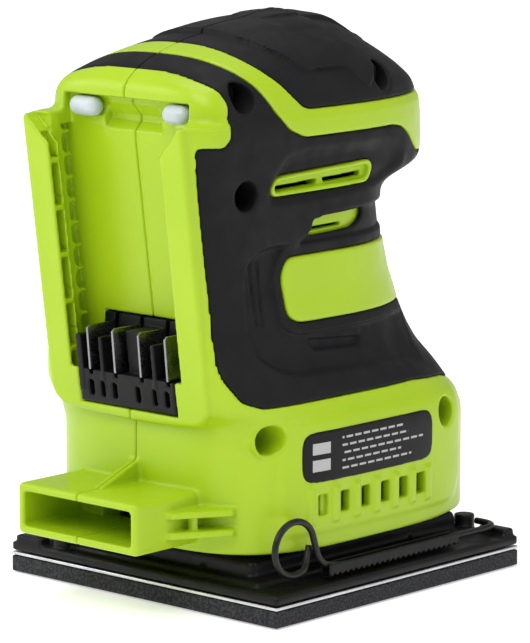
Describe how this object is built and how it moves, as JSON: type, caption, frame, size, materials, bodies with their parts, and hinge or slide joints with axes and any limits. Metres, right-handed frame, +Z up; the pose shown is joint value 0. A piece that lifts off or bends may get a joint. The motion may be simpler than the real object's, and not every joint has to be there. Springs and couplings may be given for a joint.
{
  "type": "cordless palm sander",
  "caption": "Cordless orbital palm sander: soft-grip clamshell body, open battery mount, flat dust port and a rectangular paper-clamp pad.",
  "frame": {"origin": "centre of the pad's sanding face", "axes": "+X forward, away from the battery mount and dust port; +Y to the user's left; +Z up from the work"},
  "size_m": [0.14, 0.11, 0.1717],
  "materials": {
    "green_plastic": "moulded, satin gloss",
    "black_overmould": "soft-touch elastomer, matte",
    "black_plastic": "moulded, fine texture",
    "steel": "bright zinc plated",
    "black_steel": "black oxide spring wire",
    "aluminium": "mill finish",
    "copper": "enamelled wire",
    "ferrite": "matte",
    "translucent_white": "translucent silicone",
    "rubber": "matte",
    "foam": "closed-cell foam",
    "circuit_board": "solder mask",
    "label": "printed film",
    "red_lead": "wire insulation"
  },
  "bodies": {
    "housing": {"base_plate": "black_plastic", "battery_buffer_left": "translucent_white", "battery_buffer_right": "translucent_white", "battery_lead_black": "rubber", "battery_lead_red": "red_lead", "control_board": "circuit_board", "dust_duct": "black_plastic", "grip_left": "black_overmould", "grip_right": "black_overmould", "housing_left": "green_plastic", "housing_right": "green_plastic", "housing_screw_lower_front": "steel", "housing_screw_lower_rear": "steel", "housing_screw_mid_rear": "steel", "housing_screw_upper_front": "steel", "housing_screw_upper_rear": "steel", "lower_bearing": "steel", "motor_brush_left": "ferrite", "motor_brush_right": "ferrite", "motor_can": "steel", "motor_end_cap": "black_plastic", "motor_magnet_left": "ferrite", "motor_magnet_right": "ferrite", "palm_pad_left": "black_overmould", "palm_pad_right": "black_overmould", "rating_label": "label", "switch_body": "black_plastic", "terminal_blade_1": "steel", "terminal_blade_2": "steel", "terminal_blade_3": "steel", "terminal_blade_4": "steel", "terminal_block": "black_plastic", "upper_bearing": "steel"},
    "rotor": {"motor_shaft": "steel", "armature": "copper", "commutator": "copper", "cooling_fan": "black_plastic", "eccentric_hub": "steel"},
    "pad": {"pad_bearing": "steel", "pad_carrier": "black_plastic", "backing_sheet": "aluminium", "foam_pad": "foam", "flex_post_1": "rubber", "flex_post_2": "rubber", "flex_post_3": "rubber", "flex_post_4": "rubber"},
    "clamp_right": {"clamp_wire_right": "black_steel", "clamp_jaw_right": "black_plastic"},
    "clamp_left": {"clamp_wire_left": "black_steel", "clamp_jaw_left": "black_plastic"},
    "switch": {"switch_rocker": "black_plastic"}
  },
  "joints": [
    {"name": "spindle_spin", "type": "hinge", "parent": "housing", "child": "rotor", "pos_m": [-0.0008, 0, 0.06], "axis": [0, 0, 1], "continuous": true},
    {"name": "pad_orbit", "type": "hinge", "parent": "rotor", "child": "pad", "pos_m": [0, 0, 0.02], "axis": [0, 0, 1], "continuous": true},
    {"name": "clamp_right_lift", "type": "hinge", "parent": "pad", "child": "clamp_right", "pos_m": [0, -0.0508, 0.0128], "axis": [1, 0, 0], "range_deg": [0, 75]},
    {"name": "clamp_left_lift", "type": "hinge", "parent": "pad", "child": "clamp_left", "pos_m": [0, 0.0508, 0.0128], "axis": [-1, 0, 0], "range_deg": [0, 75]},
    {"name": "switch_rock", "type": "hinge", "parent": "housing", "child": "switch", "pos_m": [0.028, 0, 0.1175], "axis": [0, 1, 0], "range_deg": [0, 9]}
  ],
  "couplings": [
    {"joint": "pad_orbit", "follows": "spindle_spin", "ratio": -1}
  ]
}
